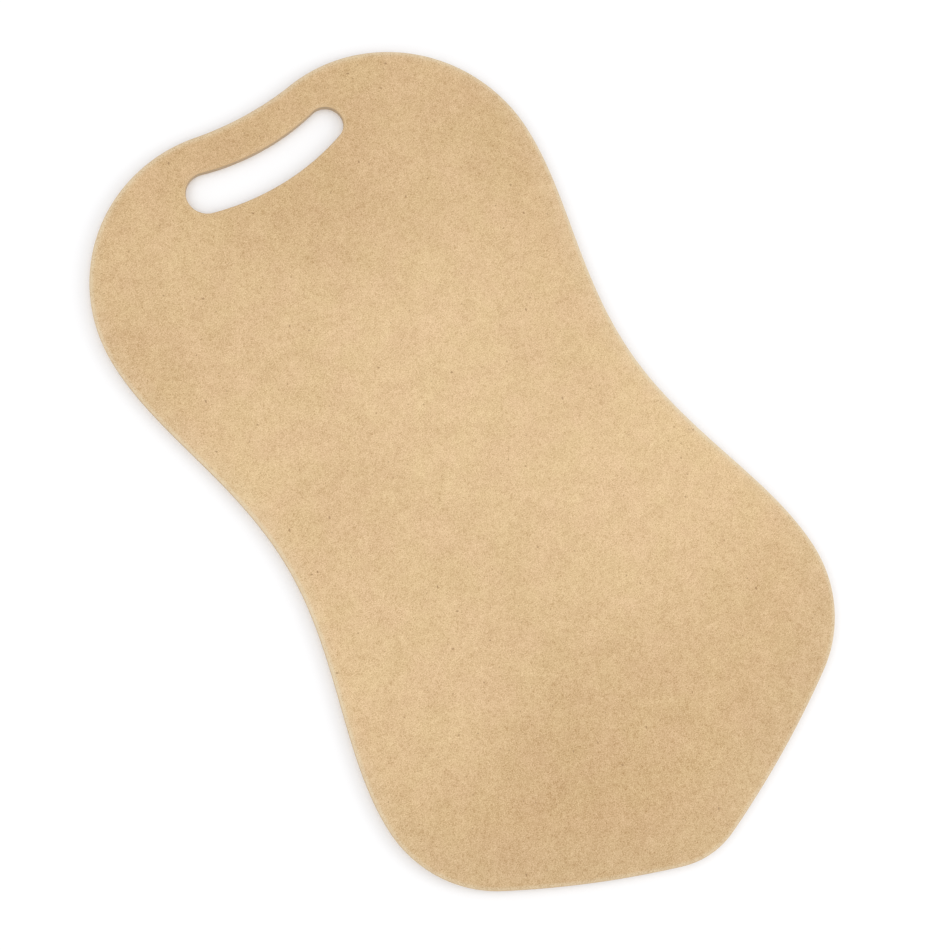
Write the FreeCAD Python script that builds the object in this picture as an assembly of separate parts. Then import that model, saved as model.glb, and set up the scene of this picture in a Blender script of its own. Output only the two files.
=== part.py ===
"""Transfer board: one flat board of plain fibreboard with a curved hand slot at its grip end.

Frame, in millimetres: the underside lies on Z = 0 and +Z is up. Y runs along the board, from the
tail at -Y to the grip end at +Y. X runs across it. The origin is the middle of the underside.
"""
import FreeCAD, Part
import math
import os
from FreeCAD import Vector

# ---- Board ----
board_length = 610.0        # tail tip to the tops of the shoulders
board_thickness = 6.0       # fibreboard sheet
arris_radius = 1.2          # sanded edge, on both faces, around the outline and the slot

# ---- Width at the three places that shape the sides ----
hip_width = 357.5           # widest place, near the tail
waist_width = 285.5         # narrowest place, where the board clears the thighs
shoulder_width = 338.5      # widest place of the grip end

# ---- Where those widths are ----
hip_from_tail = 135.0
waist_from_tail = 325.5

# ---- Rounded corners and ends ----
hip_radius = 88.5
shoulder_radius = 111.5
tail_radius = 60.0
flank_radius = 700.0        # nearly straight edge from the tail up to each hip
dip_radius = 234.0          # hollow between the shoulders
tail_offset = -3.0          # tail tip, measured across from the centre line

# ---- How long a side curve keeps its direction, as a share of the distance between two widths ----
hip_ease = 0.31
waist_ease = 0.375
shoulder_ease = 0.32

# ---- Hand slot: two round ends joined by a hollow upper edge and a full lower edge ----
slot_length = 125.2
slot_left_from_grip_end = 40.0    # centre of the left round end, below the tops of the shoulders
slot_right_from_grip_end = 38.3   # centre of the right round end, below the tops of the shoulders
slot_offset = -4.5          # middle of the slot, measured across from the centre line
slot_left_radius = 14.8
slot_right_radius = 12.6
slot_upper_radius = 176.0
slot_lower_radius = 180.0

# ---- Modelling ----
cut_clearance = 2.0         # how far the slot's cutter runs past each face
level_tolerance = 1e-6      # how exactly an edge lies in a face when it counts as that face's rim

# ---- Y of the two ends ----
tail_y = -board_length / 2
grip_end_y = board_length / 2


def angle_of(centre, point):
    """Direction from centre to point, in radians."""
    return math.atan2(point.y - centre.y, point.x - centre.x)


def polar(centre, radius, angle):
    """Point at a distance and direction from centre."""
    return centre + Vector(radius * math.cos(angle), radius * math.sin(angle), 0)


def arc_between(centre, radius, start, end, turn):
    """Arc about centre from start to end; turn is +1 anticlockwise or -1 clockwise."""
    first = angle_of(centre, start)
    sweep = (turn * (angle_of(centre, end) - first)) % (2 * math.pi)
    middle = polar(centre, radius, first + turn * sweep / 2)
    return Part.Arc(start, middle, end).toShape()


def point_at_distances(first, first_distance, second, second_distance):
    """Point at a set distance from each of two points, to the left of the way from first to second."""
    way = second - first
    span = way.Length
    along = (first_distance ** 2 - second_distance ** 2 + span ** 2) / (2 * span)
    aside = math.sqrt(first_distance ** 2 - along ** 2)
    forward = way / span
    left = Vector(-forward.y, forward.x, 0)
    return first + forward * along + left * aside


def towards(start, goal, distance):
    """Point at a distance from start on the way to goal."""
    return start + (goal - start).normalize() * distance


def side_curve(lower, upper, lower_ease, upper_ease):
    """Smooth curve between two places on a side, parallel to Y at both of them."""
    rise = upper.y - lower.y
    curve = Part.BezierCurve()
    curve.setPoles([
        lower,
        lower + Vector(0, lower_ease * rise, 0),
        upper - Vector(0, upper_ease * rise, 0),
        upper,
    ])
    return curve.toShape()


def half_outline(tail_shift):
    """Edges of the +X half, from the bottom of the tail to the middle of the dip.

    Each arc touches the next without a corner: the flank wraps around the tail and the hip, and
    the dip touches the shoulder from outside.
    """
    tail = Vector(tail_shift, tail_y + tail_radius, 0)
    hip = Vector(hip_width / 2 - hip_radius, tail_y + hip_from_tail, 0)
    shoulder = Vector(shoulder_width / 2 - shoulder_radius, grip_end_y - shoulder_radius, 0)
    flank = point_at_distances(tail, flank_radius - tail_radius, hip, flank_radius - hip_radius)
    dip_rise = math.sqrt((shoulder_radius + dip_radius) ** 2 - shoulder.x ** 2)
    dip = Vector(0, shoulder.y + dip_rise, 0)

    tail_bottom = tail - Vector(0, tail_radius, 0)
    tail_end = towards(flank, tail, flank_radius)
    hip_start = towards(flank, hip, flank_radius)
    hip_side = hip + Vector(hip_radius, 0, 0)
    waist_side = Vector(waist_width / 2, tail_y + waist_from_tail, 0)
    shoulder_side = shoulder + Vector(shoulder_radius, 0, 0)
    shoulder_end = towards(shoulder, dip, shoulder_radius)
    dip_bottom = dip - Vector(0, dip_radius, 0)

    return [
        arc_between(tail, tail_radius, tail_bottom, tail_end, 1),
        arc_between(flank, flank_radius, tail_end, hip_start, 1),
        arc_between(hip, hip_radius, hip_start, hip_side, 1),
        side_curve(hip_side, waist_side, hip_ease, waist_ease),
        side_curve(waist_side, shoulder_side, waist_ease, shoulder_ease),
        arc_between(shoulder, shoulder_radius, shoulder_side, shoulder_end, 1),
        arc_between(dip, dip_radius, shoulder_end, dip_bottom, -1),
    ]


def mirrored(edges):
    """The same edges on the -X side."""
    return [edge.mirror(Vector(0, 0, 0), Vector(1, 0, 0)) for edge in edges]


def face_inside(edges):
    """Flat face inside a closed run of edges."""
    return Part.Face(Part.Wire(Part.__sortEdges__(edges)))


def outline_face():
    """Flat face of the whole outline, on the underside."""
    return face_inside(half_outline(tail_offset) + mirrored(half_outline(-tail_offset)))


def slot_face():
    """Flat face of the hand slot: its long edges curve the same way as the dip."""
    left = Vector(slot_offset - slot_length / 2 + slot_left_radius,
                  grip_end_y - slot_left_from_grip_end, 0)
    right = Vector(slot_offset + slot_length / 2 - slot_right_radius,
                   grip_end_y - slot_right_from_grip_end, 0)
    upper = point_at_distances(
        left, slot_upper_radius + slot_left_radius, right, slot_upper_radius + slot_right_radius)
    lower = point_at_distances(
        left, slot_lower_radius - slot_left_radius, right, slot_lower_radius - slot_right_radius)

    left_top = towards(left, upper, slot_left_radius)
    right_top = towards(right, upper, slot_right_radius)
    left_bottom = towards(lower, left, slot_lower_radius)
    right_bottom = towards(lower, right, slot_lower_radius)

    return face_inside([
        arc_between(left, slot_left_radius, left_top, left_bottom, 1),
        arc_between(lower, slot_lower_radius, left_bottom, right_bottom, 1),
        arc_between(right, slot_right_radius, right_bottom, right_top, 1),
        arc_between(upper, slot_upper_radius, right_top, left_top, -1),
    ])


def edges_at_height(shape, height):
    """Edges of a shape that lie wholly at one height."""
    level = []
    for edge in shape.Edges:
        box = edge.BoundBox
        off = max(abs(box.ZMin - height), abs(box.ZMax - height))
        if off < level_tolerance:
            level.append(edge)
    return level


def make_board():
    """The board: outline, hand slot and rounded arrises on both faces."""
    blank = outline_face().extrude(Vector(0, 0, board_thickness))
    cutter = slot_face()
    cutter.translate(Vector(0, 0, -cut_clearance))
    cutter = cutter.extrude(Vector(0, 0, board_thickness + 2 * cut_clearance))
    board = blank.cut(cutter)
    arrises = edges_at_height(board, 0) + edges_at_height(board, board_thickness)
    return board.makeFillet(arris_radius, arrises)


os.makedirs("parts", exist_ok=True)
solids = {
    "board": make_board(),
}
for name, solid in solids.items():
    solid.exportStep("parts/" + name + ".step")
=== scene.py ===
"""Transfer board in raw fibreboard, dressed and lit for the studio.

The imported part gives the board's place and overall size. This script builds the board's visible
skin as one closed surface that runs over the top face, round the outline's edge, back along the
underside and up through the hand slot, and gives it the look of pressed and sanded fibreboard.
"""
import logging
import math
from dataclasses import dataclass, field
from enum import Enum
from typing import Any

import bpy
import numpy as np
from mathutils import Matrix, Vector


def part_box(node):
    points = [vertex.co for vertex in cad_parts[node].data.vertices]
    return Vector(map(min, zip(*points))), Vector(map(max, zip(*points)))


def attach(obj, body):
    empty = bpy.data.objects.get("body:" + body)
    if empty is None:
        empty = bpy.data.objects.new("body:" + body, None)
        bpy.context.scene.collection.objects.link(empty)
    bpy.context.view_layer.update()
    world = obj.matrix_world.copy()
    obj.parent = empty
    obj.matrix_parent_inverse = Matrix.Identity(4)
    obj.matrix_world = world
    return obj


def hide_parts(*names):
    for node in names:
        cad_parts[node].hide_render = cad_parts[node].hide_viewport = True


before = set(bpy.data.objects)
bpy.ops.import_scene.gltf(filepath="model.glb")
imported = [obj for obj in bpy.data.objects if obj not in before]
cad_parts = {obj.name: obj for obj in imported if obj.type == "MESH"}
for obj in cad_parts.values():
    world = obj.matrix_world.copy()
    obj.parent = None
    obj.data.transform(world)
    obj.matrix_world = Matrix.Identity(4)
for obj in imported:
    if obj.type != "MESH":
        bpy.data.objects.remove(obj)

LOG = logging.getLogger("transfer_board")
MM = 0.001
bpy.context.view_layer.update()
Socket = bpy.types.NodeSocket

NOISE_MIDDLE = 0.5                  # mean value of a noise texture
WAVE_LENGTH = 2 * math.pi / 20      # metres over which a wave texture of scale 1 repeats

# a Mix node's sockets by number, because its names repeat for each kind of value
SHARE = 0
VALUE_A, VALUE_B, VALUE_OUT = 2, 3, 0
COLOUR_A, COLOUR_B, COLOUR_OUT = 6, 7, 2


class Turn(Enum):
    """Way round that an arc runs, seen from above."""

    ANTICLOCKWISE = 1
    CLOCKWISE = -1


def linear(hex_code: str) -> tuple[float, float, float, float]:
    """Turn an sRGB hex colour into linear light.

    Args:
        hex_code: Colour such as "#DCBD91".

    Returns:
        Red, green, blue and an alpha of 1.
    """
    values = [int(hex_code[i:i + 2], 16) / 255 for i in (1, 3, 5)]
    light = [v / 12.92 if v <= 0.04045 else ((v + 0.055) / 1.055) ** 2.4 for v in values]
    return (*light, 1.0)


def add_node(tree: bpy.types.NodeTree, kind: str, values: dict[int | str, Any] | None = None,
             links: dict[int | str, Socket] | None = None, **settings: Any) -> bpy.types.Node:
    """Add one node with its settings and links.

    Args:
        tree: Node tree that receives the node.
        kind: Blender's type name of the node.
        values: Input values by socket name or number.
        links: Outputs that feed this node's inputs, by socket name or number.
        settings: The node's own properties, such as operation.

    Returns:
        The new node.
    """
    node = tree.nodes.new(kind)
    for name, value in settings.items():
        setattr(node, name, value)
    for socket, value in (values or {}).items():
        node.inputs[socket].default_value = value
    for socket, source in (links or {}).items():
        tree.links.new(source, node.inputs[socket])
    return node


# ---- Outline geometry -------------------------------------------------------------------------

SAMPLE_STEP = 0.2 * MM      # spacing of the fine points that a curve is measured from
FEWEST_SAMPLES = 8          # on an arc, however short


def arc(centre: np.ndarray, radius: float, start: np.ndarray, end: np.ndarray,
        turn: Turn) -> np.ndarray:
    """Points on an arc: centre plus radius times the cosine and sine of evenly spaced angles.

    Args:
        centre: Centre of the arc.
        radius: Radius of the arc.
        start: First point of the arc.
        end: Last point of the arc, which is left out so that arcs can be chained.
        turn: Way round from start to end.

    Returns:
        Array of points, two columns.
    """
    first = math.atan2(*(start - centre)[::-1])
    last = math.atan2(*(end - centre)[::-1])
    sweep = turn.value * ((turn.value * (last - first)) % (2 * math.pi))
    count = max(FEWEST_SAMPLES, round(abs(sweep) * radius / SAMPLE_STEP))
    angles = first + sweep * np.arange(count) / count
    return centre + radius * np.column_stack((np.cos(angles), np.sin(angles)))


def side_curve(lower: np.ndarray, upper: np.ndarray, lower_ease: float,
               upper_ease: float) -> np.ndarray:
    """Points on a cubic Bezier curve that is parallel to Y at both ends.

    Args:
        lower: First point.
        upper: Last point, which is left out.
        lower_ease: Length of the first handle, as a share of the rise.
        upper_ease: Length of the last handle, as a share of the rise.

    Returns:
        Array of points, two columns.
    """
    rise = upper[1] - lower[1]
    poles = (lower, lower + (0, lower_ease * rise), upper - (0, upper_ease * rise), upper)
    count = round(rise / SAMPLE_STEP)
    t = (np.arange(count) / count)[:, None]
    weights = ((1 - t) ** 3, 3 * (1 - t) ** 2 * t, 3 * (1 - t) * t ** 2, t ** 3)
    return sum(weight * pole for weight, pole in zip(weights, poles))


def towards(start: np.ndarray, goal: np.ndarray, distance: float) -> np.ndarray:
    """Point at a distance from start on the way to goal."""
    way = goal - start
    return start + way / np.hypot(*way) * distance


def point_at_distances(first: np.ndarray, first_distance: float, second: np.ndarray,
                       second_distance: float) -> np.ndarray:
    """Find the point at a set distance from each of two points.

    Args:
        first: One point.
        first_distance: Distance from it.
        second: The other point.
        second_distance: Distance from that.

    Returns:
        The point to the left of the way from first to second.
    """
    way = second - first
    span = np.hypot(*way)
    along = (first_distance ** 2 - second_distance ** 2 + span ** 2) / (2 * span)
    aside = math.sqrt(first_distance ** 2 - along ** 2)
    forward = way / span
    return first + forward * along + np.array((-forward[1], forward[0])) * aside


@dataclass
class Loop:
    """Points picked round a closed curve, with the normals on its outer side."""

    points: np.ndarray
    normals: np.ndarray
    distances: np.ndarray       # distance along the curve at each point, and back at the first

    def offset(self, distance: np.ndarray) -> np.ndarray:
        """The loop's points moved outwards by a distance at each."""
        return self.points + self.normals * distance[:, None]


@dataclass
class Curve:
    """Closed curve in fine points, anticlockwise."""

    samples: np.ndarray
    closed: np.ndarray = field(init=False)      # the samples, and the first once more
    run: np.ndarray = field(init=False)         # distance along the curve at each of those
    length: float = field(init=False)

    def __post_init__(self) -> None:
        """Measure the distance along the curve by summing the steps from point to point."""
        self.closed = np.vstack((self.samples, self.samples[:1]))
        steps = np.hypot(*np.diff(self.closed, axis=0).T)
        self.run = np.concatenate(([0.0], np.cumsum(steps)))
        self.length = float(self.run[-1])

    def at(self, distances: np.ndarray) -> Loop:
        """Pick points at set distances along the curve.

        The place and the direction are read off at each distance. The normal is the direction
        turned clockwise by a right angle.

        Args:
            distances: Distances along the curve, rising, within one turn of each other.

        Returns:
            The loop through those points.
        """
        goal = distances % self.length
        points = np.column_stack([np.interp(goal, self.run, column) for column in self.closed.T])
        way = np.roll(self.samples, -1, axis=0) - np.roll(self.samples, 1, axis=0)
        way /= np.hypot(*way.T)[:, None]
        way = np.column_stack([np.interp(goal, self.run[:-1], column) for column in way.T])
        way /= np.hypot(*way.T)[:, None]
        normals = np.column_stack((way[:, 1], -way[:, 0]))
        closed = np.append(distances, distances[0] + self.length)
        return Loop(points, normals, closed)

    def evenly(self, count: int) -> Loop:
        """Pick evenly spaced points."""
        return self.at(self.length * np.arange(count) / count)

    def facing(self, centre: np.ndarray, others: np.ndarray) -> Loop:
        """Pick the points where the curve is crossed by the lines from a centre to other points.

        Args:
            centre: Point from which the whole curve is in view.
            others: Points further out, anticlockwise.

        Returns:
            The loop through the crossings, one for each of the other points.
        """
        seen = np.unwrap(np.arctan2(*(self.closed - centre).T[::-1]))
        wanted = np.unwrap(np.arctan2(*(others - centre).T[::-1]))
        turns = np.arange(-1, 2)[:, None]
        angles = (seen + 2 * math.pi * turns).ravel()
        return self.at(np.interp(wanted, angles, (self.run + self.length * turns).ravel()))


@dataclass
class Outline:
    """The board's outline: tail, flanks, hips, waist, shoulders and the dip between them."""

    length: float
    hip_width: float
    waist_width: float = 285.5 * MM
    shoulder_width: float = 338.5 * MM
    hip_from_tail: float = 135.0 * MM
    waist_from_tail: float = 325.5 * MM
    hip_radius: float = 88.5 * MM
    shoulder_radius: float = 111.5 * MM
    tail_radius: float = 60.0 * MM
    flank_radius: float = 700.0 * MM
    dip_radius: float = 234.0 * MM
    tail_offset: float = -3.0 * MM
    hip_ease: float = 0.31
    waist_ease: float = 0.375
    shoulder_ease: float = 0.32

    def half(self, tail_shift: float) -> np.ndarray:
        """Points of the +X half, from the bottom of the tail to the middle of the dip.

        The flank arc wraps round the tail arc and the hip arc, so its centre is at its radius less
        theirs from each. The dip arc touches the shoulder arc from outside, so their centres are
        as far apart as their radii added up.

        Args:
            tail_shift: How far the tail's tip is from the centre line, towards +X.

        Returns:
            Array of points, two columns.
        """
        tail_y, grip_y = -self.length / 2, self.length / 2
        tail = np.array((tail_shift, tail_y + self.tail_radius))
        hip = np.array((self.hip_width / 2 - self.hip_radius, tail_y + self.hip_from_tail))
        shoulder = np.array((self.shoulder_width / 2 - self.shoulder_radius,
                             grip_y - self.shoulder_radius))
        flank = point_at_distances(tail, self.flank_radius - self.tail_radius,
                                   hip, self.flank_radius - self.hip_radius)
        dip_rise = math.sqrt((self.shoulder_radius + self.dip_radius) ** 2 - shoulder[0] ** 2)
        dip = np.array((0.0, shoulder[1] + dip_rise))

        tail_bottom = tail - (0, self.tail_radius)
        tail_end = towards(flank, tail, self.flank_radius)
        hip_start = towards(flank, hip, self.flank_radius)
        hip_side = hip + (self.hip_radius, 0)
        waist_side = np.array((self.waist_width / 2, tail_y + self.waist_from_tail))
        shoulder_side = shoulder + (self.shoulder_radius, 0)
        shoulder_end = towards(shoulder, dip, self.shoulder_radius)
        dip_bottom = dip - (0, self.dip_radius)
        return np.vstack((
            arc(tail, self.tail_radius, tail_bottom, tail_end, Turn.ANTICLOCKWISE),
            arc(flank, self.flank_radius, tail_end, hip_start, Turn.ANTICLOCKWISE),
            arc(hip, self.hip_radius, hip_start, hip_side, Turn.ANTICLOCKWISE),
            side_curve(hip_side, waist_side, self.hip_ease, self.waist_ease),
            side_curve(waist_side, shoulder_side, self.waist_ease, self.shoulder_ease),
            arc(shoulder, self.shoulder_radius, shoulder_side, shoulder_end,
                Turn.ANTICLOCKWISE),
            arc(dip, self.dip_radius, shoulder_end, dip_bottom, Turn.CLOCKWISE),
            dip_bottom[None],
        ))

    def curve(self) -> Curve:
        """The whole outline, from the bottom of the tail."""
        right = self.half(self.tail_offset)
        left = self.half(-self.tail_offset)[::-1] * (-1, 1)
        return Curve(np.vstack((right[:-1], left[:-1])))


@dataclass
class HandSlot:
    """The hand slot: two round ends joined by a hollow upper edge and a full lower edge."""

    grip_end_y: float
    length: float = 125.2 * MM
    left_from_grip_end: float = 40.0 * MM
    right_from_grip_end: float = 38.3 * MM
    offset: float = -4.5 * MM
    left_radius: float = 14.8 * MM
    right_radius: float = 12.6 * MM
    upper_radius: float = 176.0 * MM
    lower_radius: float = 180.0 * MM

    def curve(self) -> Curve:
        """The slot's edge.

        The upper arc touches both end arcs from outside and the lower arc wraps round both, which
        sets the distances from their centres to the ends' centres.

        Returns:
            The curve, from the top of the left end.
        """
        left = np.array((self.offset - self.length / 2 + self.left_radius,
                         self.grip_end_y - self.left_from_grip_end))
        right = np.array((self.offset + self.length / 2 - self.right_radius,
                          self.grip_end_y - self.right_from_grip_end))
        upper = point_at_distances(left, self.upper_radius + self.left_radius,
                                   right, self.upper_radius + self.right_radius)
        lower = point_at_distances(left, self.lower_radius - self.left_radius,
                                   right, self.lower_radius - self.right_radius)
        left_top = towards(left, upper, self.left_radius)
        right_top = towards(right, upper, self.right_radius)
        left_bottom = towards(lower, left, self.lower_radius)
        right_bottom = towards(lower, right, self.lower_radius)
        return Curve(np.vstack((
            arc(left, self.left_radius, left_top, left_bottom, Turn.ANTICLOCKWISE),
            arc(lower, self.lower_radius, left_bottom, right_bottom, Turn.ANTICLOCKWISE),
            arc(right, self.right_radius, right_bottom, right_top, Turn.ANTICLOCKWISE),
            arc(upper, self.upper_radius, right_top, left_top, Turn.CLOCKWISE),
        )))

    def middle(self) -> np.ndarray:
        """A point inside the slot from which its whole edge and the whole outline are in view."""
        points = self.curve().samples
        near = points[np.abs(points[:, 0] - self.offset) < self.left_radius]
        return np.array((self.offset, near[:, 1].mean()))


# ---- Finishes ---------------------------------------------------------------------------------


@dataclass(frozen=True)
class Scatter:
    """Bark specks of one kind, laid out in cells of which a share hold one."""

    turn: float             # degrees
    stretch: float          # how much longer than wide
    spread: float           # spacing of the cells, as a share of the finish's
    size: float             # largest radius, as a share of the finish's
    held: float             # share of the cells that hold a speck
    strength: float         # how far a speck hides the skin


@dataclass(frozen=True)
class PressedFibreboard:
    """Raw medium-density fibreboard: hot-pressed skin, cut and sanded edge, nothing on it.

    The press leaves a smooth, dull tan skin with soft clouds where the mat was denser, a fine
    salt-and-pepper felt of short fibres that lie in every direction, and a scatter of dark bark
    specks. Where the sheet is cut, the softer core shows browner and duller, with faint layers
    parallel to the faces and the small even ripple that a router leaves. The sanded arris and a
    narrow rim of the face beside it are paler, partly because their torn fibre ends stand up and
    partly as a painted highlight where light catches the rounded edge. Towards both ends the skin
    is darker, as painted shade where the light falls off, with some real darker tone at the tail.
    """

    skin_dark: str = "#A7804E"
    skin_light: str = "#FDE2B2"
    skin_pink: str = "#FFE0B5"
    core_dark: str = "#96806A"
    core_light: str = "#D0B895"
    # colour of the pale rim: torn fibre on the sanded arris, and a painted highlight of light
    # catching it
    rim_fuzz_and_highlight: str = "#DFD0B2"
    speck: str = "#7A5127"
    cloud_mm: float = 95.0
    hue_mm: float = 24.0
    blotch_mm: float = 14.0
    fleck_mm: float = 4.6
    # fibres are a few hundredths of a millimetre wide and 2 to 4 mm long; drawn wider to show
    fibre_mm: float = 1.25
    fibre_stretch: float = 3.5
    fibre_fade: float = 0.09            # share of the noise's range over which a strand fades
    fibre_wander: float = 0.5
    fibre_turns: tuple[float, ...] = (15.0, 75.0, 135.0)     # degrees
    grain_mm: float = 0.8
    mean_tone: float = 0.5
    cloud_weight: float = 0.15
    blotch_weight: float = 0.18
    fleck_weight: float = 0.20
    grain_weight: float = 0.88
    felt_weight: float = 0.27
    felt_middle: float = 0.68           # mean height of the felt
    # painted shade: the skin darkens towards both ends where the light falls off, with some real
    # darker tone at the tail
    painted_end_shade_weight: float = -0.20
    painted_end_shade_grip: float = 0.65          # painted shade at the grip end, as a share of the tail's
    painted_end_shade_start: float = 0.1          # share of the way to an end at which it sets in
    hue_range: tuple[float, float] = (0.35, 0.65)   # noise at which the skin turns to pink
    speck_spacing_mm: float = 9.0
    speck_mm: float = 0.6               # radius
    speck_fade: float = 0.4             # a speck's soft rim, as a share of its radius
    scatters: tuple[Scatter, ...] = (
        Scatter(20.0, 1.3, 0.32, 0.6, 0.55, 0.24),
        Scatter(50.0, 1.2, 1.0, 1.1, 0.34, 0.42),
        Scatter(75.0, 1.7, 2.2, 1.4, 0.30, 0.52),
        Scatter(140.0, 1.4, 2.0, 1.5, 0.24, 0.50),
    )
    through_scale: float = 10.0         # how much faster the pattern changes through the sheet
    layer_mm: float = 0.8
    layer_stretch: float = 12.5         # how much longer than thick a layer's marks are
    layer_tone_share: float = 0.5       # the skin's tone against the layers in the cut core
    ripple_mm: float = 2.4
    ripple_wander: float = 0.4
    torn_mm: float = 0.6
    torn_share: float = 0.6             # torn fibres against ripple in the cut edge's relief
    tail_y: float = -305.0 * MM         # the grip end is as far the other way
    core_start: float = 0.35            # share of cut edge at which the core begins to show
    pale_rim_least: float = 0.324           # how far the pale rim hides the skin in its darkest places
    pale_rim_most: float = 1.044            # and in its lightest
    pale_rim_tones: tuple[float, float] = (0.2, 0.8)    # the tones of those places
    roughness: float = 0.63
    roughness_swing: float = 0.09       # lighter places are smoother by this, darker ones rougher
    cut_roughness: float = 0.88
    fibre_height: float = 0.05 * MM
    fibre_bump: float = 0.3
    ripple_height: float = 0.06 * MM
    ripple_bump: float = 0.5
    ior: float = 1.47

    def material(self) -> bpy.types.Material:
        """Build the material.

        Returns:
            The fibreboard material, which reads object coordinates and the skin's attributes.
        """
        made = bpy.data.materials.new("raw_fibreboard_pressed_and_sanded")
        made.use_nodes = True
        tree = made.node_tree
        tree.nodes.clear()
        place = add_node(tree, "ShaderNodeTexCoord").outputs["Object"]
        cut = add_node(tree, "ShaderNodeAttribute", attribute_name="cut_edge").outputs["Fac"]
        # share of the pale rim: torn fibre on the sanded arris, and a painted highlight of light
        # catching it
        pale_rim = add_node(tree, "ShaderNodeAttribute", attribute_name="fuzz_and_highlight_rim").outputs["Fac"]
        run = add_node(tree, "ShaderNodeAttribute", attribute_name="edge_run").outputs["Vector"]
        # the pattern changes faster through the sheet than along it, as its thin layers do
        layered = add_node(tree, "ShaderNodeMapping", {"Scale": (1, 1, self.through_scale)},
                           {"Vector": place})
        layered = layered.outputs["Vector"]

        felt = self.felt(tree, layered)
        tone = self.tone(tree, layered, felt)
        skin = add_node(tree, "ShaderNodeMix", {COLOUR_B: linear(self.speck)},
                        {SHARE: self.specks(tree, place),
                         COLOUR_A: self.skin(tree, layered, tone)}, data_type="RGBA")
        core = add_node(tree, "ShaderNodeMix",
                        {COLOUR_A: linear(self.core_dark), COLOUR_B: linear(self.core_light)},
                        {SHARE: self.layers(tree, run, tone)}, data_type="RGBA")
        wall = add_node(tree, "ShaderNodeMapRange", {"From Min": self.core_start}, {"Value": cut})
        bare = add_node(tree, "ShaderNodeMix",
                        links={SHARE: wall.outputs[0], COLOUR_A: skin.outputs[COLOUR_OUT],
                               COLOUR_B: core.outputs[COLOUR_OUT]}, data_type="RGBA")
        # sanding by hand bites unevenly, so the pale rim of torn fibre and painted highlight
        # follows the tone's light and dark
        uneven = add_node(tree, "ShaderNodeMapRange",
                          {"From Min": self.pale_rim_tones[0], "From Max": self.pale_rim_tones[1],
                           "To Min": self.pale_rim_least, "To Max": self.pale_rim_most},
                          {"Value": tone})
        torn = add_node(tree, "ShaderNodeMath", links={0: pale_rim, 1: uneven.outputs[0]},
                        operation="MULTIPLY")
        colour = add_node(tree, "ShaderNodeMix", {COLOUR_B: linear(self.rim_fuzz_and_highlight)},
                          {SHARE: torn.outputs[0], COLOUR_A: bare.outputs[COLOUR_OUT]},
                          data_type="RGBA")

        skin_rough = add_node(tree, "ShaderNodeMapRange",
                              {"To Min": self.roughness + self.roughness_swing,
                               "To Max": self.roughness - self.roughness_swing}, {"Value": tone})
        rough = add_node(tree, "ShaderNodeMix", {VALUE_B: self.cut_roughness},
                         {SHARE: cut, VALUE_A: skin_rough.outputs[0]})
        shader = add_node(tree, "ShaderNodeBsdfPrincipled", {"IOR": self.ior},
                          {"Base Color": colour.outputs[COLOUR_OUT],
                           "Roughness": rough.outputs[VALUE_OUT],
                           "Normal": self.relief(tree, felt, run, cut)})
        add_node(tree, "ShaderNodeOutputMaterial", links={"Surface": shader.outputs[0]})
        return made

    def felt(self, tree: bpy.types.NodeTree, place: Socket) -> Socket:
        """The felt of single fibres: thin wandering strands that cross in three directions.

        A strand runs where drawn-out noise passes its middle value. The nearest strand of the
        three directions counts, and it is highest on its own line and fades to both sides.

        Args:
            tree: Node tree to build in.
            place: Output that gives the place on the board, in metres.

        Returns:
            Output with the height of the felt, from 0 to 1.
        """
        nearest = None
        for turn in self.fibre_turns:
            drawn = add_node(tree, "ShaderNodeMapping",
                             {"Rotation": (0, 0, math.radians(turn)),
                              "Location": (turn * MM, 0, 0),
                              "Scale": (self.fibre_stretch, 1, 1)}, {"Vector": place},
                             vector_type="TEXTURE")
            waves = add_node(tree, "ShaderNodeTexNoise",
                             {"Scale": 1 / (self.fibre_mm * MM), "Detail": 1,
                              "Distortion": self.fibre_wander}, {"Vector": drawn.outputs[0]})
            apart = add_node(tree, "ShaderNodeMath", {1: NOISE_MIDDLE},
                             {0: waves.outputs["Fac"]}, operation="SUBTRACT")
            apart = add_node(tree, "ShaderNodeMath", links={0: apart.outputs[0]},
                             operation="ABSOLUTE").outputs[0]
            if nearest is not None:
                apart = add_node(tree, "ShaderNodeMath", links={0: nearest, 1: apart},
                                 operation="MINIMUM").outputs[0]
            nearest = apart
        return add_node(tree, "ShaderNodeMapRange",
                        {"From Max": self.fibre_fade, "To Min": 1.0, "To Max": 0.0},
                        {"Value": nearest}).outputs[0]

    def tone(self, tree: bpy.types.NodeTree, place: Socket, felt: Socket) -> Socket:
        """Lightness of the skin: clouds, blotches, flecks, felt, grain and painted shade towards
        the ends, weighted and added up.

        Args:
            tree: Node tree to build in.
            place: Output that gives the place on the board, in metres.
            felt: Output with the height of the felt.

        Returns:
            Output with the tone, around 0.5.
        """
        # each part with its weight and its own middle value
        parts = [(felt, self.felt_weight, self.felt_middle),
                 (self.painted_end_shade(tree, place), self.painted_end_shade_weight, 0.0)]
        # size of the spots, detail, distortion and weight
        noises = (
            (self.cloud_mm, 0, 0.0, self.cloud_weight),
            (self.blotch_mm, 2, 0.0, self.blotch_weight),
            (self.fleck_mm, 1, 0.6, self.fleck_weight),
            (self.grain_mm, 2, 0.0, self.grain_weight),
        )
        for size_mm, detail, distortion, weight in noises:
            spots = add_node(tree, "ShaderNodeTexNoise",
                             {"Scale": 1 / (size_mm * MM), "Detail": detail,
                              "Distortion": distortion}, {"Vector": place})
            parts.append((spots.outputs["Fac"], weight, NOISE_MIDDLE))
        total = None
        start = self.mean_tone - sum(weight * middle for _, weight, middle in parts)
        for part, weight, _ in parts:
            links = {0: part} if total is None else {0: part, 2: total}
            total = add_node(tree, "ShaderNodeMath", {1: weight, 2: start}, links,
                             operation="MULTIPLY_ADD").outputs[0]
        return total

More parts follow.
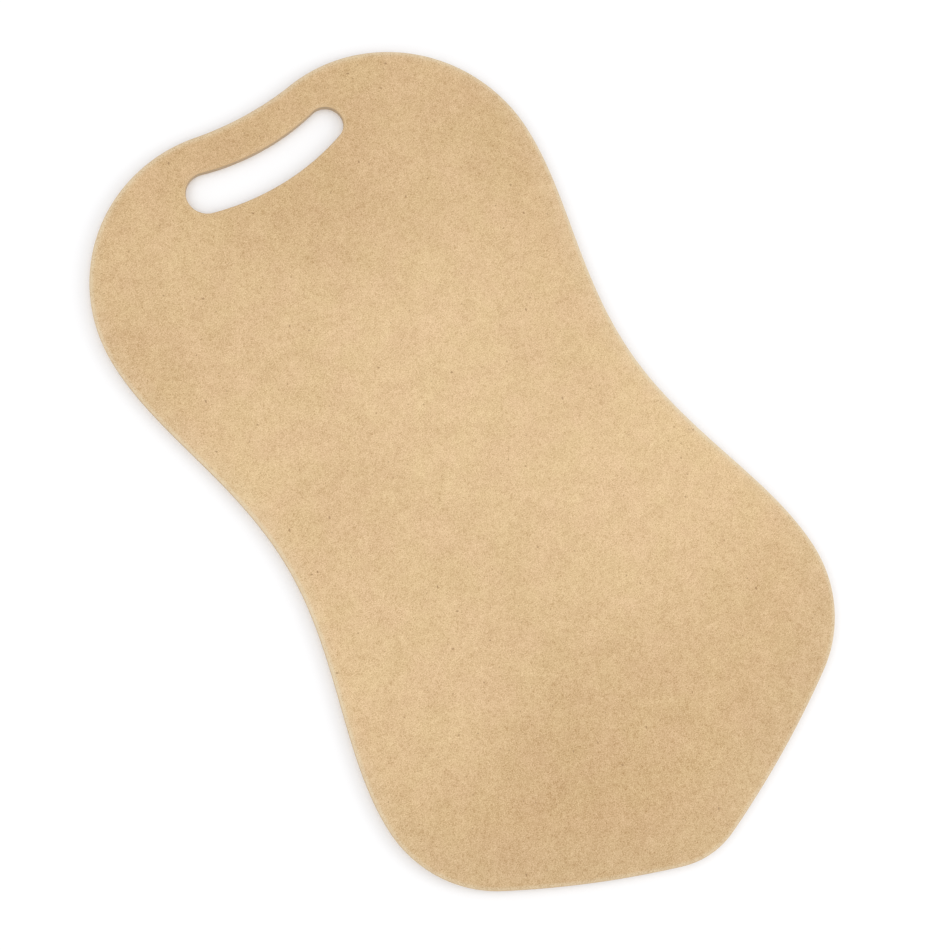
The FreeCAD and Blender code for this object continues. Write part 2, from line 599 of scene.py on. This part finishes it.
    def painted_end_shade(self, tree: bpy.types.NodeTree, place: Socket) -> Socket:
        """How much painted shade darkens the board: 0 at its middle, up to 1 towards the tail.

        It sets in a tenth of the way to either end and rises smoothly from there, about two
        thirds as far at the grip end. It stands for light that falls off towards the ends, with
        some real darker tone at the tail.

        Args:
            tree: Node tree to build in.
            place: Output that gives the place on the board, in metres.

        Returns:
            Output with the share.
        """
        along = add_node(tree, "ShaderNodeSeparateXYZ", links={0: place}).outputs[1]
        ends = []
        for far, most in ((self.tail_y, 1.0), (-self.tail_y, self.painted_end_shade_grip)):
            end = add_node(tree, "ShaderNodeMapRange",
                           {"From Min": far * self.painted_end_shade_start, "From Max": far, "To Max": most},
                           {"Value": along}, interpolation_type="SMOOTHSTEP")
            ends.append(end.outputs[0])
        return add_node(tree, "ShaderNodeMath", links=dict(enumerate(ends)),
                        operation="ADD").outputs[0]

    def skin(self, tree: bpy.types.NodeTree, place: Socket, tone: Socket) -> Socket:
        """Colour of the pressed skin: dark to light by its tone, and faintly pinker in places.

        Args:
            tree: Node tree to build in.
            place: Output that gives the place on the board, in metres.
            tone: Output with the skin's tone.

        Returns:
            Output with the colour.
        """
        patches = add_node(tree, "ShaderNodeTexNoise",
                           {"Scale": 1 / (self.hue_mm * MM), "Detail": 3}, {"Vector": place})
        hue = add_node(tree, "ShaderNodeMapRange",
                       {"From Min": self.hue_range[0], "From Max": self.hue_range[1]},
                       {"Value": patches.outputs["Fac"]})
        light = add_node(tree, "ShaderNodeMix",
                         {COLOUR_A: linear(self.skin_light), COLOUR_B: linear(self.skin_pink)},
                         {SHARE: hue.outputs[0]}, data_type="RGBA")
        skin = add_node(tree, "ShaderNodeMix", {COLOUR_A: linear(self.skin_dark)},
                        {SHARE: tone, COLOUR_B: light.outputs[COLOUR_OUT]}, data_type="RGBA")
        return skin.outputs[COLOUR_OUT]

    def specks(self, tree: bpy.types.NodeTree, place: Socket) -> Socket:
        """Dark bark specks: a few of the cells of a scatter hold one, round or drawn out.

        Args:
            tree: Node tree to build in.
            place: Output that gives the place on the board, in metres.

        Returns:
            Output with the strength of the speck, 0 where there is none.
        """
        total = None
        for scatter in self.scatters:
            spacing = self.speck_spacing_mm * scatter.spread * MM
            drawn = add_node(tree, "ShaderNodeMapping",
                             {"Rotation": (0, 0, math.radians(scatter.turn)),
                              "Scale": (scatter.stretch, 1, 1)}, {"Vector": place},
                             vector_type="TEXTURE")
            cells = add_node(tree, "ShaderNodeTexVoronoi", {"Scale": 1 / spacing},
                             {"Vector": drawn.outputs[0]}, voronoi_dimensions="2D")
            chance = add_node(tree, "ShaderNodeSeparateColor", links={0: cells.outputs["Color"]})
            radius = self.speck_mm * scatter.size * MM / spacing
            size = add_node(tree, "ShaderNodeMapRange",
                            {"From Max": scatter.held, "To Min": radius, "To Max": 0.0},
                            {"Value": chance.outputs[0]})
            inside = add_node(tree, "ShaderNodeMath",
                              links={0: size.outputs[0], 1: cells.outputs["Distance"]},
                              operation="SUBTRACT")
            part = add_node(tree, "ShaderNodeMapRange",
                            {"From Max": radius * self.speck_fade, "To Max": scatter.strength},
                            {"Value": inside.outputs[0]}).outputs[0]
            if total is not None:
                part = add_node(tree, "ShaderNodeMath", links={0: total, 1: part},
                                operation="MAXIMUM").outputs[0]
            total = part
        return total

    def layers(self, tree: bpy.types.NodeTree, run: Socket, tone: Socket) -> Socket:
        """Lightness of the cut core: thin layers that run along the edge, mixed with the grain.

        Args:
            tree: Node tree to build in.
            run: Output with the distance along the edge and the height, in metres.
            tone: Output with the skin's tone.

        Returns:
            Output with the tone of the core, around 0.5.
        """
        drawn = add_node(tree, "ShaderNodeMapping", {"Scale": (1 / self.layer_stretch, 1, 1)},
                         {"Vector": run})
        bands = add_node(tree, "ShaderNodeTexNoise",
                         {"Scale": 1 / (self.layer_mm * MM), "Detail": 2},
                         {"Vector": drawn.outputs[0]})
        both = add_node(tree, "ShaderNodeMix", {SHARE: self.layer_tone_share},
                        {VALUE_A: bands.outputs["Fac"], VALUE_B: tone})
        return both.outputs[VALUE_OUT]

    def relief(self, tree: bpy.types.NodeTree, felt: Socket, run: Socket, cut: Socket) -> Socket:
        """Bumps: raised fibres on the skin, and router ripple with torn fibres on the cut edge.

        Args:
            tree: Node tree to build in.
            felt: Output with the height of the felt.
            run: Output with the distance along the edge and the height, in metres.
            cut: Output that is 1 on the cut edge and 0 on the faces.

        Returns:
            Output with the bent normal.
        """
        skin = add_node(tree, "ShaderNodeBump",
                        {"Strength": self.fibre_bump, "Distance": self.fibre_height},
                        {"Height": felt})
        ripple = add_node(tree, "ShaderNodeTexWave",
                          {"Scale": WAVE_LENGTH / (self.ripple_mm * MM),
                           "Distortion": self.ripple_wander}, {"Vector": run},
                          bands_direction="X")
        torn = add_node(tree, "ShaderNodeTexNoise",
                        {"Scale": 1 / (self.torn_mm * MM), "Detail": 3}, {"Vector": run})
        both = add_node(tree, "ShaderNodeMix", {SHARE: self.torn_share},
                        {VALUE_A: ripple.outputs["Fac"], VALUE_B: torn.outputs["Fac"]})
        worked = add_node(tree, "ShaderNodeMath", links={0: both.outputs[VALUE_OUT], 1: cut},
                          operation="MULTIPLY")
        edge = add_node(tree, "ShaderNodeBump",
                        {"Strength": self.ripple_bump, "Distance": self.ripple_height},
                        {"Height": worked.outputs[0], "Normal": skin.outputs[0]})
        return edge.outputs[0]


@dataclass(frozen=True)
class MattPaper:
    """Seamless background paper: white, matt, with no visible texture at this distance."""

    colour: str = "#FBFBFC"
    roughness: float = 0.9

    def material(self) -> bpy.types.Material:
        """Build the material."""
        made = bpy.data.materials.new("white_background_paper_matt")
        made.use_nodes = True
        shader = made.node_tree.nodes["Principled BSDF"]
        shader.inputs["Base Color"].default_value = linear(self.colour)
        shader.inputs["Roughness"].default_value = self.roughness
        shader.inputs["Specular IOR Level"].default_value = 0.0
        return made


# ---- The board --------------------------------------------------------------------------------


@dataclass
class Board:
    """The board's visible skin, one closed surface that stands for the CAD node of its name."""

    low: Vector
    high: Vector
    arris_radius: float = 1.2 * MM
    arris_wobble: float = 0.14          # share by which hand sanding changes the arris
    wobble_waves: tuple[int, ...] = (5, 11, 17, 29)
    around: int = 1200                  # points round the outline, and round the slot
    arris_steps: int = 6
    wall_steps: int = 4
    face_steps: int = 12
    pale_rim_width: float = 2.3 * MM        # how far the pale rim, sanded fibre with a painted highlight, reaches onto the face beside the arris
    face_rim_share: float = 0.2           # pale rim left on the face where the rim rows end
    slot_rim_share: float = 0.2              # pale rim at the slot as a share of the outline's
    core_power: float = 1.5             # how late the cut core sets in round the arris
    seed: int = 7
    finish: PressedFibreboard = field(default_factory=PressedFibreboard)
    thickness: float = field(init=False)
    outline: Loop = field(init=False)
    slot: Loop = field(init=False)
    outline_arris: np.ndarray = field(init=False)
    slot_arris: np.ndarray = field(init=False)

    def __post_init__(self) -> None:
        """Lay out the two closed curves that bound the faces."""
        size = self.high - self.low
        # the node's facets stop just short of the full length, which is whole millimetres
        outline = Outline(length=round(size.y, 3), hip_width=size.x)
        slot = HandSlot(grip_end_y=outline.length / 2)
        self.thickness = size.z
        self.outline = outline.curve().evenly(self.around)
        self.slot = slot.curve().facing(slot.middle(), self.outline.points)
        random = np.random.default_rng(self.seed)
        self.outline_arris = self.sanded_arris(random)
        self.slot_arris = self.sanded_arris(random)

    def sanded_arris(self, random: np.random.Generator) -> np.ndarray:
        """Radius of the arris at each point round a loop.

        It is the plain radius times one plus a small sum of sine waves, each a whole number of
        waves round the loop with its own random phase, so it closes on itself.

        Args:
            random: Seeded source of the phases.

        Returns:
            One radius for each point.
        """
        share = np.arange(self.around) / self.around
        phases = random.uniform(0, 2 * math.pi, len(self.wobble_waves))
        waves = [np.sin(2 * math.pi * n * share + p) for n, p in zip(self.wobble_waves, phases)]
        return self.arris_radius * (1 + self.arris_wobble * sum(waves) / len(waves))

    def edge_rows(self, loop: Loop, arris: np.ndarray, side: int) -> list[np.ndarray]:
        """Rows of points from one face's rim, round the edge and onto the other face's rim.

        The profile is a quarter circle, the straight wall and a second quarter circle. A row
        stands off the loop by the arris radius times one less the cosine of its angle, and its
        height is the wall's end plus the radius times the sine.

        Args:
            loop: Curve that the edge follows.
            arris: Radius of the arris at each point of the loop.
            side: 1 where the board is inside the loop, -1 where it is outside.

        Returns:
            Rows from the top face down to the underside, each an array of three columns.
        """
        angles = np.linspace(math.pi / 2, 0, self.arris_steps + 1)
        heights = np.linspace(1, 0, self.wall_steps + 1)[1:-1]
        upper, lower = [], []
        for angle in angles:
            plan = loop.offset(-side * arris * (1 - math.cos(angle)))
            rise = arris * math.sin(angle)
            upper.append(np.column_stack((plan, self.thickness - arris + rise)))
            lower.append(np.column_stack((plan, arris - rise)))
        wall = [
            np.column_stack((loop.points, arris + (self.thickness - 2 * arris) * share))
            for share in heights
        ]
        return upper + wall + lower[::-1]

    def face_rows(self, height: float) -> list[np.ndarray]:
        """Rows of points across a face, from the slot's rim out to the outline's rim.

        The first and last row are where the worn rims end. The others lie at the same share of
        the straight way from each point of the first row to the point of the last that it faces.

        Args:
            height: Height of the face.

        Returns:
            Rows without the two rims, which belong to the edges.
        """
        inner = self.slot.offset(self.slot_arris + self.pale_rim_width)
        outer = self.outline.offset(-self.outline_arris - self.pale_rim_width)
        return [
            np.column_stack((inner + (outer - inner) * share, np.full(self.around, height)))
            for share in np.linspace(0, 1, self.face_steps + 1)
        ]

    def build(self) -> bpy.types.Object:
        """Make the skin: a grid that closes both round the board and across its section.

        Returns:
            The mesh object, in the part's frame.
        """
        outer = self.edge_rows(self.outline, self.outline_arris, 1)
        inner = self.edge_rows(self.slot, self.slot_arris, -1)
        top = self.face_rows(self.thickness)
        under = self.face_rows(0.0)[::-1]
        rows = top + outer + under + inner[::-1]
        flat = np.zeros(len(top))
        core, torn = self.edge_shares()
        cut = np.concatenate((flat, core, flat, core))
        # the face keeps a little of the pale rim, sanded fibre and painted highlight, beside the
        # outline and loses it by the next row
        face_rim = flat.copy()
        face_rim[-1] = self.face_rim_share
        pale_rim = np.concatenate((face_rim, torn, face_rim[::-1], torn * self.slot_rim_share))
        distances = np.concatenate([
            np.tile(loop.distances, (len(part), 1))
            for part, loop in ((top, self.outline), (outer, self.outline),
                               (under, self.outline), (inner, self.slot))
        ])

        vertices = np.concatenate(rows) + (0, 0, self.low.z)
        count, around = len(rows), self.around
        row, column = np.meshgrid(np.arange(count), np.arange(around), indexing="ij")
        next_row, next_column = (row + 1) % count, (column + 1) % around
        quads = np.stack((row * around + column, next_row * around + column,
                          next_row * around + next_column, row * around + next_column), axis=-1)
        quads = quads.reshape(-1, 4)

        mesh = bpy.data.meshes.new("board_skin")
        mesh.vertices.add(len(vertices))
        mesh.vertices.foreach_set("co", vertices.astype(np.float32).ravel())
        mesh.loops.add(quads.size)
        mesh.loops.foreach_set("vertex_index", quads.astype(np.int32).ravel())
        mesh.polygons.add(len(quads))
        mesh.polygons.foreach_set("loop_start", np.arange(0, quads.size, 4, dtype=np.int32))
        mesh.update(calc_edges=True)
        mesh.shade_smooth()

        for name, shares in (("cut_edge", cut), ("fuzz_and_highlight_rim", pale_rim)):
            attribute = mesh.attributes.new(name, "FLOAT", "POINT")
            attribute.data.foreach_set("value", np.repeat(shares, around).astype(np.float32))
        # each corner keeps its own distance along the edge, so the last quad doesn't run backwards
        corner_column = np.stack((column, column, column + 1, column + 1), axis=-1)
        run = np.zeros((quads.size, 3))
        run[:, 0] = distances[row[..., None], corner_column].ravel()
        run[:, 1] = vertices[quads.ravel(), 2]
        edge_run = mesh.attributes.new("edge_run", "FLOAT_VECTOR", "CORNER")
        edge_run.data.foreach_set("vector", run.astype(np.float32).ravel())
        mesh.validate()

        skin = bpy.data.objects.new("board_skin", mesh)
        bpy.context.scene.collection.objects.link(skin)
        return skin

    def edge_shares(self) -> tuple[np.ndarray, np.ndarray]:
        """How much cut core and how much pale rim, torn fibre with a painted highlight, each row of
        an edge shows.

        The core rises from 0 at the rims to 1 on the wall, as a power of the share of the arris
        that is passed. The pale rim falls as a cosine from 1 at the rims to 0 on the wall.

        Returns:
            The shares of cut core, then those of the pale rim.
        """
        steps = np.linspace(0, 1, self.arris_steps + 1)
        wall = np.ones(self.wall_steps - 1)
        cut, torn = steps ** self.core_power, np.cos(steps * math.pi / 2)
        return (np.concatenate((cut, wall, cut[::-1])),
                np.concatenate((torn, 1 - wall, torn[::-1])))

    def dress(self, skin: bpy.types.Object) -> None:
        """Give the skin its finish and its place in the part."""
        skin.data.materials.append(self.finish.material())
        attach(skin, "root")
        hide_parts("board")


# ---- The studio -------------------------------------------------------------------------------


class Lamp(Enum):
    """The studio's soft lights: place and size in metres, and power in watts."""

    LEFT = ((-1.18, 0.75, 1.40), (1.1, 1.1), 4.0)
    RIGHT = ((1.51, -0.97, 0.84), (1.1, 1.1), 10.6)
    FRONT = ((-1.74, -0.39, 0.84), (1.1, 1.1), 2.3)


@dataclass
class Studio:
    """Pale floor, soft lights and the camera."""

    low: Vector
    high: Vector
    floor_size: float = 12.0
    floor_gap: float = 0.05 * MM
    ambient: float = 0.90
    camera_place: Vector = field(default_factory=lambda: Vector((-0.19027, -0.05002, 0.98916)))
    camera_aim_x: float = -0.3 * MM
    camera_aim_y: float = -0.3 * MM
    camera_roll: float = 43.0           # degrees
    focal_length: float = 54.9          # millimetres, on a sensor 36 mm wide
    clip: tuple[float, float] = (0.01, 50.0)
    paper: MattPaper = field(default_factory=MattPaper)

    def build_floor(self) -> bpy.types.Object:
        """Make the floor just under the board.

        Returns:
            The floor.
        """
        half = self.floor_size / 2
        z = self.low.z - self.floor_gap
        corners = [(-half, -half, z), (half, -half, z), (half, half, z), (-half, half, z)]
        mesh = bpy.data.meshes.new("floor")
        mesh.from_pydata(corners, [], [(0, 1, 2, 3)])
        floor = bpy.data.objects.new("floor", mesh)
        bpy.context.scene.collection.objects.link(floor)
        mesh.materials.append(self.paper.material())
        return floor

    def build_lights(self) -> None:
        """Make the soft lights, which all face the middle of the board, and the even room light."""
        target = (self.low + self.high) / 2
        for lamp in Lamp:
            place, size, power = lamp.value
            light = bpy.data.lights.new(f"softbox_{lamp.name.lower()}", "AREA")
            light.shape = "RECTANGLE"
            light.size, light.size_y = size
            light.energy = power
            holder = bpy.data.objects.new(light.name, light)
            holder.location = place
            holder.rotation_euler = (target - Vector(place)).to_track_quat("-Z", "Y").to_euler()
            bpy.context.scene.collection.objects.link(holder)
        world = bpy.data.worlds.new("studio_room")
        world.use_nodes = True
        world.node_tree.nodes["Background"].inputs["Color"].default_value = (1, 1, 1, 1)
        world.node_tree.nodes["Background"].inputs["Strength"].default_value = self.ambient
        bpy.context.scene.world = world

    def build_camera(self) -> None:
        """Make the camera, above the board and a little to its left, turned about its own line."""
        target = Vector((self.camera_aim_x, self.camera_aim_y, self.high.z))
        camera = bpy.data.cameras.new("camera")
        camera.lens = self.focal_length
        camera.clip_start, camera.clip_end = self.clip
        holder = bpy.data.objects.new("camera", camera)
        aim = (target - self.camera_place).to_track_quat("-Z", "Y").to_matrix()
        roll = Matrix.Rotation(math.radians(self.camera_roll), 3, "Z")
        holder.matrix_world = Matrix.Translation(self.camera_place) @ (aim @ roll).to_4x4()
        bpy.context.scene.collection.objects.link(holder)
        bpy.context.scene.camera = holder

    def build(self) -> None:
        """Set up the whole studio."""
        self.build_floor()
        self.build_lights()
        self.build_camera()
        bpy.context.scene.view_settings.view_transform = "Standard"


def main() -> None:
    """Build the board and the studio."""
    low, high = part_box("board")
    board = Board(low, high)
    skin = board.build()
    board.dress(skin)
    LOG.info("%s: %d faces", skin.name, len(skin.data.polygons))
    Studio(low, high).build()
    LOG.info("studio: floor, %d soft lights, camera", len(Lamp))


if __name__ == "__main__":
    logging.basicConfig(level=logging.INFO, format="%(name)s: %(message)s")
    main()
